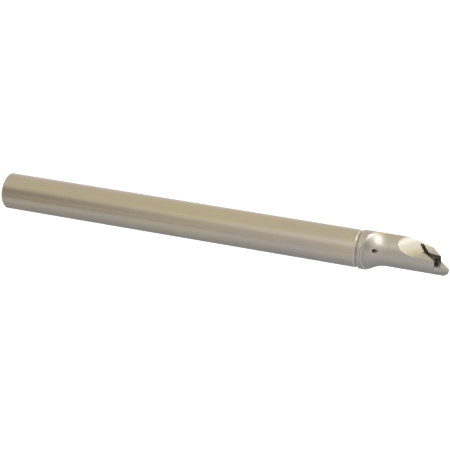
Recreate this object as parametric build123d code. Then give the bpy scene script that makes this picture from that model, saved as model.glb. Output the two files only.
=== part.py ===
from build123d import *
import os
from math import asin, cos, degrees, radians, sin, sqrt, tan

os.makedirs("parts", exist_ok=True)

# Frame: X runs along the shank from the rear face (x = 0) to the nose, Z is up out of
# the insert seat, and the origin is on the shank axis at the mouth of the coolant inlet.
# All sizes are in millimetres and degrees.

# Shank and head blank, turned on the shank axis
shank_diameter = 15.875
overall_length = 203.2
head_length = 38.9
rear_chamfer = 0.6
blank_step = 0.26
relief_width = 0.7
relief_depth = 0.45
relief_bevel = 0.45

# Neck, turned on a second axis that lies beside the shank axis
neck_offset = 4.0
neck_radius = 7.2
neck_fillet = 11.4
neck_start = 11.3

# Insert that the pocket takes: a 35 degree rhombus held by a central screw
insert_circle = 4.76
insert_corner = 35.0
insert_overhang = 0.1
seat_height = -1.15
near_edge_angle = 12.5
nose_y = -3.65
nose_radius = 0.4

# Faces around the pocket
front_angle = 52.0
flank_angle = 7.5
clearance_angle = 4.0
heel_angle = 40.0
wall_set_back = 0.4
wall_lean = 3.0
corner_slot_width = 1.8
corner_slot_length = 1.6
corner_slot_depth = 0.25
wall_bevel = 0.45

# Chip scoop
scoop_floor = 1.5
scoop_radius = 11.4
scoop_skew = 38.0
scoop_start = 21.8

# Coolant way
inlet_radius = 4.2
inlet_depth = 11.0
coolant_radius = 2.5
coolant_end = 1.0
drill_point = 118.0
jet_radius = 0.8
jet_exit = (7.2, -3.72, 1.96)
jet_root = (-2.0, -1.3, 1.7)

# Insert screw and its hole
screw_radius = 1.0
screw_clearance = 0.05
screw_length = 4.6
screw_hole_depth = 5.0
screw_head_radius = 1.4
screw_cone_angle = 60.0
screw_head_rim = 0.35
screw_gap = 0.55
socket_radius = 0.78
socket_lobe_radius = 0.2
socket_depth = 0.7
screw_end_chamfer = 0.25

shank_radius = shank_diameter / 2
blank_radius = shank_radius + blank_step
relief_x = overall_length - head_length
nose = Vector(overall_length, nose_y, seat_height)
far_edge_angle = near_edge_angle + insert_corner
reach = 4 * blank_radius


def back_along(angle):
    """Unit step in plan from the nose towards the shank, turned by angle towards +Y."""
    return Vector(-cos(radians(angle)), sin(radians(angle)), 0)


diagonal_angle = near_edge_angle + insert_corner / 2
insert_diagonal = insert_circle / sin(radians(insert_corner / 2))
insert_tip = nose - back_along(diagonal_angle) * insert_overhang
pocket_corner = insert_tip + back_along(diagonal_angle) * insert_diagonal
seat_centre = (insert_tip + pocket_corner) * 0.5


def turned_bar():
    """Shank with its rear chamfer, the relief groove, and the larger head blank."""
    relief_left = relief_x - relief_width / 2
    relief_right = relief_x + relief_width / 2
    relief_floor = shank_radius - relief_depth
    half_section = Polyline(
        (0, 0),
        (0, shank_radius - rear_chamfer),
        (rear_chamfer, shank_radius),
        (relief_left - relief_bevel, shank_radius),
        (relief_left, relief_floor),
        (relief_right, relief_floor),
        (relief_right + relief_bevel, blank_radius),
        (overall_length, blank_radius),
        (overall_length, 0),
        close=True,
    )
    return revolve(Plane.XZ * make_face(half_section), Axis.X)


def neck_turning():
    """Ring that the off-centre turning takes away, with the concave run-in."""
    outer = blank_radius + neck_offset + 1
    fillet_centre = neck_radius + neck_fillet
    run_in = sqrt(neck_fillet**2 - (fillet_centre - outer) ** 2)
    turn = asin(run_in / neck_fillet)
    end_x = relief_x + neck_start
    start = (end_x - run_in, outer)
    middle = (
        end_x - neck_fillet * sin(turn / 2),
        fillet_centre - neck_fillet * cos(turn / 2),
    )
    end = (end_x, neck_radius)
    front_x = overall_length + 1
    outline = ThreePointArc(start, middle, end) + Polyline(
        end, (front_x, neck_radius), (front_x, outer), start
    )
    plane = Plane((0, neck_offset, 0), x_dir=(1, 0, 0), z_dir=(0, -1, 0))
    return revolve(plane * make_face(outline), Axis((0, neck_offset, 0), (1, 0, 0)))


def nose_heel():
    """Wedge under the seat's nose, whose underside is tangent to the neck."""
    slope = radians(heel_angle)
    tangent_y = neck_offset - neck_radius * cos(slope)
    tangent_z = -neck_radius * sin(slope)
    rise = (seat_height - tangent_z) / cos(slope)
    section = Polyline(
        (neck_offset, seat_height),
        (tangent_y - rise * sin(slope), seat_height),
        (tangent_y, tangent_z),
        close=True,
    )
    plane = Plane((overall_length, 0, 0), x_dir=(0, 1, 0), z_dir=(1, 0, 0))
    return extrude(plane * make_face(section), -head_length) & ahead_of_wall()


def plan_prism(points, bottom, top):
    """Upright prism over a plan outline between two heights."""
    outline = Polyline(*[(p.X, p.Y) for p in points], close=True)
    return extrude(Plane((0, 0, bottom)) * make_face(outline), top - bottom)


def ahead_of_wall():
    """Everything in front of the upright plane through the pocket's rear wall."""
    along = back_along(far_edge_angle) * reach
    forward = Vector(reach, 0, 0)
    ends = [pocket_corner + along, pocket_corner - along]
    return plan_prism([*ends, ends[1] + forward, ends[0] + forward], -reach, reach)


def outside_face(plan_normal):
    """Block beyond a face through the nose that leans back by the clearance angle."""
    lean = radians(clearance_angle)
    normal = Vector(plan_normal.X * cos(lean), plan_normal.Y * cos(lean), -sin(lean))
    face = Plane(nose, z_dir=normal) * Rectangle(4 * reach, 4 * reach)
    return extrude(face, 2 * reach)


def front_normal():
    """Unit normal, in plan, of the long slanting face at the far side of the nose."""
    return Vector(sin(radians(front_angle)), cos(radians(front_angle)), 0)


def wall_front():
    """Material in front of the pocket's far wall, which stands back from the seat's edge."""
    lean = Vector(0, 0, tan(radians(wall_lean)))
    foot = nose - front_normal() * wall_set_back
    face = Plane(foot, z_dir=front_normal() + lean) * Rectangle(2 * reach, 2 * reach)
    above_seat = Pos(foot.X, foot.Y, seat_height) * Box(
        2 * reach, 2 * reach, reach, align=(Align.CENTER, Align.CENTER, Align.MIN)
    )
    return extrude(face, reach) & above_seat


def nose_outline():
    """Material outside the front and flank faces and the rounded corner between them."""
    turn = radians(flank_angle)
    flank_normal = Vector(-sin(turn), -cos(turn), 0)
    wedge = Pos(nose) * Box(2 * reach, 2 * reach, 2 * reach)
    wedge = wedge - outside_face(front_normal()) - outside_face(flank_normal)
    corner = min(wedge.edges(), key=lambda edge: edge.distance_to(nose))
    return ahead_of_wall() - fillet(corner, nose_radius)


def insert_pocket():
    """Wedge above the seat between the two walls, with a slot that clears its corner."""
    near_wall = pocket_corner - back_along(far_edge_angle) * reach
    far_wall = pocket_corner - back_along(near_edge_angle) * reach
    wedge = plan_prism([pocket_corner, near_wall, far_wall], seat_height, blank_radius)
    return wedge + corner_slot()


def corner_slot():
    """Slot along the rear wall that runs on past the pocket's sharp corner."""
    radius = corner_slot_width / 2
    along = back_along(far_edge_angle)
    inner_end = pocket_corner + along * corner_slot_length
    inner_end += Vector(along.Y, -along.X, 0) * radius
    outer_end = inner_end - along * (corner_slot_length + corner_slot_width)
    floor = seat_height - corner_slot_depth
    middle = (inner_end + outer_end) * 0.5
    slot = SlotCenterPoint((middle.X, middle.Y), (inner_end.X, inner_end.Y), corner_slot_width)
    return extrude(Plane((0, 0, floor)) * slot, blank_radius - floor)


def wall_bevel_cut():
    """Bevel along the top edge of the pocket's rear wall."""
    edge = Plane(
        (pocket_corner.X, pocket_corner.Y, scoop_floor),
        x_dir=back_along(far_edge_angle - 90),
        z_dir=-back_along(far_edge_angle),
    )
    section = Polyline((-wall_bevel, 0), (1, 0), (1, -wall_bevel), (0, -wall_bevel), close=True)
    return extrude(edge * make_face(section), reach)


def chip_scoop():
    """Flat floor that sweeps up through a large radius across the head."""
    skew = radians(scoop_skew)
    plane = Plane(
        (relief_x, 0, 0),
        x_dir=(cos(skew), -sin(skew), 0),
        z_dir=(-sin(skew), -cos(skew), 0),
    )
    top = scoop_floor + scoop_radius
    middle = (
        scoop_start - scoop_radius * sin(radians(45)),
        top - scoop_radius * cos(radians(45)),
    )
    outline = ThreePointArc((scoop_start - scoop_radius, top), middle, (scoop_start, scoop_floor))
    outline += Polyline(
        (scoop_start, scoop_floor),
        (scoop_start + reach, scoop_floor),
        (scoop_start + reach, top),
        (scoop_start - scoop_radius, top),
    )
    return extrude(plane * make_face(outline), reach, both=True)


def coolant_way():
    """Threaded inlet, bore along the shank, and the jet hole out of the neck."""
    bore_end = relief_x + coolant_end
    point = coolant_radius / tan(radians(drill_point / 2))
    half_section = Polyline(
        (0, 0),
        (0, inlet_radius),
        (inlet_depth, inlet_radius),
        (inlet_depth, coolant_radius),
        (bore_end, coolant_radius),
        (bore_end + point, 0),
        close=True,
    )
    bore = revolve(Plane.XZ * make_face(half_section), Axis.X)
    root = Vector(*jet_root) + Vector(relief_x, 0, 0)
    aim = Vector(*jet_exit) - Vector(*jet_root)
    jet = extrude(Plane(root, z_dir=aim) * Circle(jet_radius), 2 * aim.length)
    return bore + jet


def screw_hole():
    """Hole in the seat for the insert screw."""
    return Pos(seat_centre.X, seat_centre.Y, seat_height) * Cylinder(
        screw_radius + screw_clearance,
        screw_hole_depth,
        align=(Align.CENTER, Align.CENTER, Align.MAX),
    )


def bar_body():
    """The whole bar, cut from one piece of steel."""
    body = turned_bar() - neck_turning() + nose_heel() - nose_outline() - wall_front()
    body = body - chip_scoop() - insert_pocket() - wall_bevel_cut()
    return body - coolant_way() - screw_hole()


def insert_screw():
    """Screw with a cone under its head and a six-lobed socket, part way out."""
    cone_height = (screw_head_radius - screw_radius) / tan(radians(screw_cone_angle / 2))
    head_top = cone_height + screw_head_rim
    half_section = Polyline(
        (0, -screw_length),
        (screw_radius - screw_end_chamfer, -screw_length),
        (screw_radius, screw_end_chamfer - screw_length),
        (screw_radius, 0),
        (screw_head_radius, cone_height),
        (screw_head_radius, head_top),
        (0, head_top),
        close=True,
    )
    screw = revolve(Plane.XZ * make_face(half_section), Axis.Z)
    lobes = PolarLocations(socket_radius - socket_lobe_radius, 6) * Circle(socket_lobe_radius)
    socket = Sketch() + lobes + Circle(socket_radius - socket_lobe_radius)
    screw -= Pos(0, 0, head_top) * extrude(socket, -socket_depth)
    return Pos(seat_centre.X, seat_centre.Y, seat_height + screw_gap) * screw


export_step(bar_body(), "parts/bar_body.step")
export_step(insert_screw(), "parts/insert_screw.step")
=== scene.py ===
from math import radians

import bpy
from mathutils import Matrix, Vector


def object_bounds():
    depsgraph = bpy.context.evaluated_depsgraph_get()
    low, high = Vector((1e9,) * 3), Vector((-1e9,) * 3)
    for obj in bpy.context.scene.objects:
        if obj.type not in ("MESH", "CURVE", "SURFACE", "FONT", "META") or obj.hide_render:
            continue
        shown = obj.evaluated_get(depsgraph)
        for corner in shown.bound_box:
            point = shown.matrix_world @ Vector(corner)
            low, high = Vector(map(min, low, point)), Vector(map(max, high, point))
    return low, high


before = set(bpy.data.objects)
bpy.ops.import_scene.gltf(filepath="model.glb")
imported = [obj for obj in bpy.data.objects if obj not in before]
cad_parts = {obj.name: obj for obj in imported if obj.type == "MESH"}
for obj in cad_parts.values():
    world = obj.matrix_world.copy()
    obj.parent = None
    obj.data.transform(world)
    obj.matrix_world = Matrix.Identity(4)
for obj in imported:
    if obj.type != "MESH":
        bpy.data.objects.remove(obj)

cad_low, cad_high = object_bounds()

# Camera. A long lens looks down along the bar from its near side, with the nose at the
# right edge of the frame and the rear face at the left.
nose = Vector((cad_high.x, 0, 0))
camera_from_nose = Vector((0.10876, -0.53535, 0.27350))
camera_elevation = 25.427
camera_turn = 21.169
camera_lens = 118.89
camera_clip = (0.01, 20)

view_camera = bpy.data.objects.new("view_camera", bpy.data.cameras.new("view_camera"))
bpy.context.scene.collection.objects.link(view_camera)
view_camera.location = nose + camera_from_nose
view_camera.rotation_euler = (radians(90 - camera_elevation), 0, radians(camera_turn))
view_camera.data.lens = camera_lens
view_camera.data.clip_start, view_camera.data.clip_end = camera_clip
bpy.context.scene.camera = view_camera
bpy.context.scene.view_settings.view_transform = "Standard"


# Floor. A plain white sheet of matt card lies some way below the bar, which is held by its
# shank. Its faint glow brings it up to white, and it still takes the bar's soft shadow.
floor_drop = 0.14
floor_size = 6.0
card_white = "F4F5FB"
floor_glow = 0.14


def linear(hex_colour):
    """Linear RGBA of an sRGB hex colour."""
    parts = [int(hex_colour[i : i + 2], 16) / 255 for i in (0, 2, 4)]
    return [p / 12.92 if p <= 0.04045 else ((p + 0.055) / 1.055) ** 2.4 for p in parts] + [1]


def add_node(tree, kind, settings=None, inputs=None):
    """Adds a node, sets its properties and fills or links its inputs."""
    node = tree.nodes.new(kind)
    for name, value in (settings or {}).items():
        setattr(node, name, value)
    for name, value in (inputs or {}).items():
        if isinstance(value, bpy.types.NodeSocket):
            tree.links.new(value, node.inputs[name])
        else:
            node.inputs[name].default_value = value
    return node


def new_material(name):
    """Empty node material and its node tree."""
    material = bpy.data.materials.new(name)
    material.use_nodes = True
    material.node_tree.nodes.clear()
    return material, material.node_tree


def background_rays(tree):
    """1 for rays that show a background: the camera's, and those off metal or through glass."""
    path = add_node(tree, "ShaderNodeLightPath")
    either = add_node(
        tree,
        "ShaderNodeMath",
        {"operation": "MAXIMUM"},
        {0: path.outputs["Is Camera Ray"], 1: path.outputs["Is Glossy Ray"]},
    )
    rays = add_node(
        tree,
        "ShaderNodeMath",
        {"operation": "MAXIMUM"},
        {0: either.outputs[0], 1: path.outputs["Is Transmission Ray"]},
    )
    return rays.outputs[0]


def matt_card():
    """Matt white card: it scatters light evenly, and a faint glow lifts it to white."""
    material, tree = new_material("matt_card")
    card = add_node(tree, "ShaderNodeBsdfDiffuse", inputs={"Color": linear(card_white)})
    level = add_node(
        tree,
        "ShaderNodeMath",
        {"operation": "MULTIPLY"},
        {0: background_rays(tree), 1: floor_glow},
    )
    glow = add_node(tree, "ShaderNodeEmission", inputs={"Strength": level.outputs[0]})
    both = add_node(
        tree, "ShaderNodeAddShader", inputs={0: card.outputs[0], 1: glow.outputs[0]}
    )
    add_node(tree, "ShaderNodeOutputMaterial", inputs={"Surface": both.outputs[0]})
    return material


def flat_card(name, place, wide, deep, material):
    """Flat rectangular card that lies level, as part of the studio."""
    for thing in bpy.context.selected_objects:
        thing.select_set(False)
    bpy.ops.mesh.primitive_plane_add(size=1, location=place)
    card = bpy.context.object
    card.name = name
    card.scale = (wide, deep, 1)
    bpy.ops.object.transform_apply(location=True, rotation=False, scale=True)
    card.data.materials.append(material)
    return card


floor_height = cad_low.z - floor_drop
flat_card("floor", (0, 0, floor_height), floor_size, floor_size, matt_card())


# Grey card. Out of the camera's sight, it shades the plated bar from below and from the
# front, as is usual for bright metal in a white room. It lies on the floor, darkens towards
# the left and the back, and only the metal shows it.
grey_card_wide = 2.4
grey_card_front = -1.7
grey_card_back = 0.35
grey_card_above_floor = 0.002
pale_grey = "DCDDE8"
sprayed_coats = [
    {"axis": "X", "starts": -0.1, "full": -0.36, "shade": "8F8A88"},
    {"axis": "Y", "starts": -0.3, "full": 0.2, "shade": "8E92A2"},
]


def grey_board():
    """Dull grey mounting board, sprayed darker towards the left and then the back."""
    material, tree = new_material("grey_board")
    place = add_node(tree, "ShaderNodeTexCoord").outputs["Object"]
    axes = add_node(tree, "ShaderNodeSeparateXYZ", inputs={0: place})
    grey = linear(pale_grey)
    for coat in sprayed_coats:
        amount = add_node(
            tree,
            "ShaderNodeMapRange",
            {"interpolation_type": "SMOOTHSTEP"},
            {
                "Value": axes.outputs[coat["axis"]],
                "From Min": coat["starts"],
                "From Max": coat["full"],
            },
        )
        grey = add_node(
            tree,
            "ShaderNodeMix",
            {"data_type": "RGBA"},
            {0: amount.outputs["Result"], 6: grey, 7: linear(coat["shade"])},
        ).outputs[2]
    board = add_node(tree, "ShaderNodeBsdfDiffuse", inputs={"Color": grey})
    add_node(tree, "ShaderNodeOutputMaterial", inputs={"Surface": board.outputs[0]})
    return material


grey_card = flat_card(
    "grey_card",
    (0, (grey_card_front + grey_card_back) / 2, floor_height + grey_card_above_floor),
    grey_card_wide,
    grey_card_back - grey_card_front,
    grey_board(),
)
grey_card.visible_camera = False
grey_card.visible_diffuse = False
grey_card.visible_shadow = False


# Studio light. The room has white walls and a warmer ceiling, with one dim corner at the left
# behind the camera and one low at the right. A strip lamp crosses over the head, and soft
# boxes stand to its right, behind it and beside the camera.
wall_white = "F9F7F6"
ceiling = {"starts": 0.45, "full": 0.85, "shade": "F9F5E4"}
corners = [
    {"towards": (-0.75, -0.61, 0.25), "starts": 0.875, "full": 0.93, "shade": "6A6354"},
    {"towards": (0.95, -0.25, 0.0), "starts": 0.88, "full": 0.97, "shade": "A8A29A"},
]
lamps = [
    {
        "name": "strip_lamp",
        "from_nose": (0.36, -0.25, 1.0),
        "wide": 0.52,
        "long": 1.3,
        "watts": 6.6,
        "colour": "EAF4FF",
    },
    {
        "name": "right_box",
        "from_nose": (0.87, 0.2, 0.66),
        "wide": 0.34,
        "long": 0.34,
        "watts": 1.8,
        "colour": "EAF3FF",
    },
    {
        "name": "back_box",
        "from_nose": (0.2, 0.57, 0.8),
        "wide": 0.5,
        "long": 0.5,
        "watts": 0.4,
        "colour": "FFF1C0",
    },
    {
        "name": "camera_box",
        "from_nose": (-0.22, -0.7, 0.64),
        "wide": 0.4,
        "long": 0.5,
        "watts": 0.3,
        "colour": "D8F0FF",
    },
]


def soft_box(name, from_nose, wide, long, watts, colour):
    """Rectangular area lamp that faces the nose, with its long side across the bar."""
    lamp = bpy.data.lights.new(name, "AREA")
    lamp.shape = "RECTANGLE"
    lamp.size = wide
    lamp.size_y = long
    lamp.energy = watts
    lamp.color = linear(colour)[:3]
    box = bpy.data.objects.new(name, lamp)
    bpy.context.scene.collection.objects.link(box)
    back = Vector(from_nose).normalized()
    side = Vector((0, 1, 0)).cross(back).normalized()
    box.location = nose + Vector(from_nose)
    box.rotation_euler = Matrix((side, back.cross(side), back)).transposed().to_euler()


def white_room():
    """World of pale walls and ceiling, with its dim corners."""
    world = bpy.data.worlds.new("room")
    world.use_nodes = True
    tree = world.node_tree
    tree.nodes.clear()
    direction = add_node(tree, "ShaderNodeTexCoord").outputs["Generated"]
    up = add_node(tree, "ShaderNodeSeparateXYZ", inputs={0: direction}).outputs["Z"]
    tints = [(up, ceiling)]
    for corner in corners:
        near = add_node(
            tree,
            "ShaderNodeVectorMath",
            {"operation": "DOT_PRODUCT"},
            {0: direction, 1: Vector(corner["towards"]).normalized()},
        )
        tints.append((near.outputs["Value"], corner))
    room = linear(wall_white)
    for value, tint in tints:
        amount = add_node(
            tree,
            "ShaderNodeMapRange",
            {"interpolation_type": "SMOOTHSTEP"},
            {"Value": value, "From Min": tint["starts"], "From Max": tint["full"]},
        )
        room = add_node(
            tree,
            "ShaderNodeMix",
            {"data_type": "RGBA"},
            {0: amount.outputs["Result"], 6: room, 7: linear(tint["shade"])},
        ).outputs[2]
    glow = add_node(tree, "ShaderNodeBackground", inputs={"Color": room})
    add_node(tree, "ShaderNodeOutputWorld", inputs={"Surface": glow.outputs[0]})
    return world


for lamp in lamps:
    soft_box(**lamp)
bpy.context.scene.world = white_room()


# Bar. One piece of alloy steel, turned, ground and milled, then satin nickel plated all over.
# The shank keeps faint grinding rings and the milled head is evenly fine. A painted highlight
# lies along the groove's edges and the neck's start, and painted shade lies in the groove's
# floor.
mm = 0.001
plate_rose = "AFA59C"
plate_yellow = "BAAE93"
plate_grey = "B4AA9A"
plate_grey_share = 0.5
milled_grey = "B0A89B"
# Painted highlight, laid along the groove's edges and the neck's start.
painted_edge_highlight = "CFC8BC"
# Painted shade, laid in the groove's floor.
painted_groove_shade = "847C6E"
ring_roughness = (0.28, 0.34)
milled_roughness = (0.34, 0.4)
cloud_size = 24 * mm
cloud_stretch = (2.5, 1, 1)
cloud_starts = 0.35
cloud_full = 0.65
ring_pitch = 0.8 * mm  # real grinding rings are a tenth as wide, too fine to show
ring_stretch = (1, 25, 25)
ring_height = 0.004 * mm
milled_grain = 0.5 * mm  # real grain is a fifth as wide, too fine to show
noise_detail = 3.0
shank_radius = 7.94 * mm
groove_middle = 164.3 * mm
groove_floor_half = 0.22 * mm
groove_half = 0.8 * mm
neck_begins = 165.6 * mm
neck_edge_ends = 169.0 * mm
neck_edge_fade = 1.5 * mm
neck_edge_band = 0.45 * mm
edge_softness = 0.12 * mm
milled_fade = 1 * mm


def noise(tree, place, size, stretch=(1, 1, 1)):
    """Cloudy pattern whose patches are about this large, stretched along the axes."""
    scales = Vector([1 / (size * s) for s in stretch])
    scaled = add_node(tree, "ShaderNodeMapping", inputs={"Vector": place, "Scale": scales})
    return add_node(
        tree,
        "ShaderNodeTexNoise",
        inputs={"Vector": scaled.outputs[0], "Scale": 1.0, "Detail": noise_detail},
    ).outputs["Fac"]


def between(tree, value, low, high, softness):
    """1 where the value lies between two limits, with soft edges."""
    above, below = (
        add_node(
            tree,
            "ShaderNodeMapRange",
            {"interpolation_type": "SMOOTHSTEP"},
            {"Value": value, "From Min": outside, "From Max": inside},
        )
        for outside, inside in ((low - softness, low), (high + softness, high))
    )
    return add_node(
        tree,
        "ShaderNodeMath",
        {"operation": "MULTIPLY"},
        {0: above.outputs["Result"], 1: below.outputs["Result"]},
    ).outputs[0]


def satin_nickel_plate():
    """Satin nickel plate on ground steel: warm grey, softly mirrored, faintly clouded."""
    material, tree = new_material("satin_nickel_plate")
    place = add_node(tree, "ShaderNodeTexCoord").outputs["Object"]
    axes = add_node(tree, "ShaderNodeSeparateXYZ", inputs={0: place})
    along = axes.outputs["X"]
    across = add_node(
        tree, "ShaderNodeCombineXYZ", inputs={1: axes.outputs["Y"], 2: axes.outputs["Z"]}
    )
    radius = add_node(
        tree, "ShaderNodeVectorMath", {"operation": "LENGTH"}, {0: across.outputs[0]}
    ).outputs["Value"]

    clouds = add_node(
        tree,
        "ShaderNodeMapRange",
        {"interpolation_type": "SMOOTHSTEP"},
        {
            "Value": noise(tree, place, cloud_size, cloud_stretch),
            "From Min": cloud_starts,
            "From Max": cloud_full,
        },
    ).outputs["Result"]
    milled = add_node(
        tree,
        "ShaderNodeMapRange",
        {"interpolation_type": "SMOOTHSTEP"},
        {"Value": along, "From Min": neck_begins - milled_fade, "From Max": neck_begins},
    ).outputs["Result"]
    groove, groove_floor = (
        between(tree, along, groove_middle - half, groove_middle + half, edge_softness)
        for half in (groove_half, groove_floor_half)
    )
    neck_start = between(tree, along, neck_begins, neck_edge_ends, neck_edge_fade)
    rim_low = shank_radius - neck_edge_band
    rim_high = shank_radius - edge_softness
    rim = between(tree, radius, rim_low, rim_high, edge_softness)
    neck_edge = add_node(
        tree, "ShaderNodeMath", {"operation": "MULTIPLY"}, {0: neck_start, 1: rim}
    ).outputs[0]

    plate = linear(plate_rose)
    # The last three layers are painted light: a highlight on the groove's edges, shade in its
    # floor and a highlight at the neck's start.
    for amount, colour in (
        (clouds, plate_yellow),
        (plate_grey_share, plate_grey),
        (milled, milled_grey),
        (groove, painted_edge_highlight),
        (groove_floor, painted_groove_shade),
        (neck_edge, painted_edge_highlight),
    ):
        plate = add_node(
            tree,
            "ShaderNodeMix",
            {"data_type": "RGBA"},
            {0: amount, 6: plate, 7: linear(colour)},
        ).outputs[2]

    rings = noise(tree, place, ring_pitch, ring_stretch)
    grain = noise(tree, place, milled_grain)
    marks, smoothest, roughest = (
        add_node(
            tree, "ShaderNodeMix", {"data_type": "FLOAT"}, {0: milled, 2: ground, 3: cut}
        ).outputs[0]
        for ground, cut in zip((rings, *ring_roughness), (grain, *milled_roughness))
    )
    roughness = add_node(
        tree,
        "ShaderNodeMapRange",
        inputs={"Value": marks, "To Min": smoothest, "To Max": roughest},
    )
    relief = add_node(
        tree,
        "ShaderNodeBump",
        inputs={"Height": marks, "Strength": 1.0, "Distance": ring_height},
    )
    shader = add_node(
        tree,
        "ShaderNodeBsdfPrincipled",
        inputs={
            "Base Color": plate,
            "Metallic": 1.0,
            "Roughness": roughness.outputs["Result"],
            "Normal": relief.outputs[0],
        },
    )
    add_node(tree, "ShaderNodeOutputMaterial", inputs={"Surface": shader.outputs[0]})
    return material


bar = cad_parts["bar_body"]
bar.data.materials.clear()
bar.data.materials.append(satin_nickel_plate())


# Insert screw. Case hardened steel with a black oxide finish, oiled. The coat is a little
# uneven, so that it shows a soft, patchy gloss.
oxide_black = "1A1816"
oxide_brown = "2B2621"
oxide_patch = 0.5 * mm
oxide_roughness = (0.3, 0.45)
oxide_metallic = 0.6


def black_oxide():
    """Black oxide on steel: near black, with a dull, patchy gloss."""
    material, tree = new_material("black_oxide")
    place = add_node(tree, "ShaderNodeTexCoord").outputs["Object"]
    patches = noise(tree, place, oxide_patch)
    coat = add_node(
        tree,
        "ShaderNodeMix",
        {"data_type": "RGBA"},
        {0: patches, 6: linear(oxide_black), 7: linear(oxide_brown)},
    )
    smoothest, roughest = oxide_roughness
    roughness = add_node(
        tree,
        "ShaderNodeMapRange",
        inputs={"Value": patches, "To Min": smoothest, "To Max": roughest},
    )
    shader = add_node(
        tree,
        "ShaderNodeBsdfPrincipled",
        inputs={
            "Base Color": coat.outputs[2],
            "Metallic": oxide_metallic,
            "Roughness": roughness.outputs["Result"],
        },
    )
    add_node(tree, "ShaderNodeOutputMaterial", inputs={"Surface": shader.outputs[0]})
    return material


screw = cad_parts["insert_screw"]
screw.data.materials.clear()
screw.data.materials.append(black_oxide())
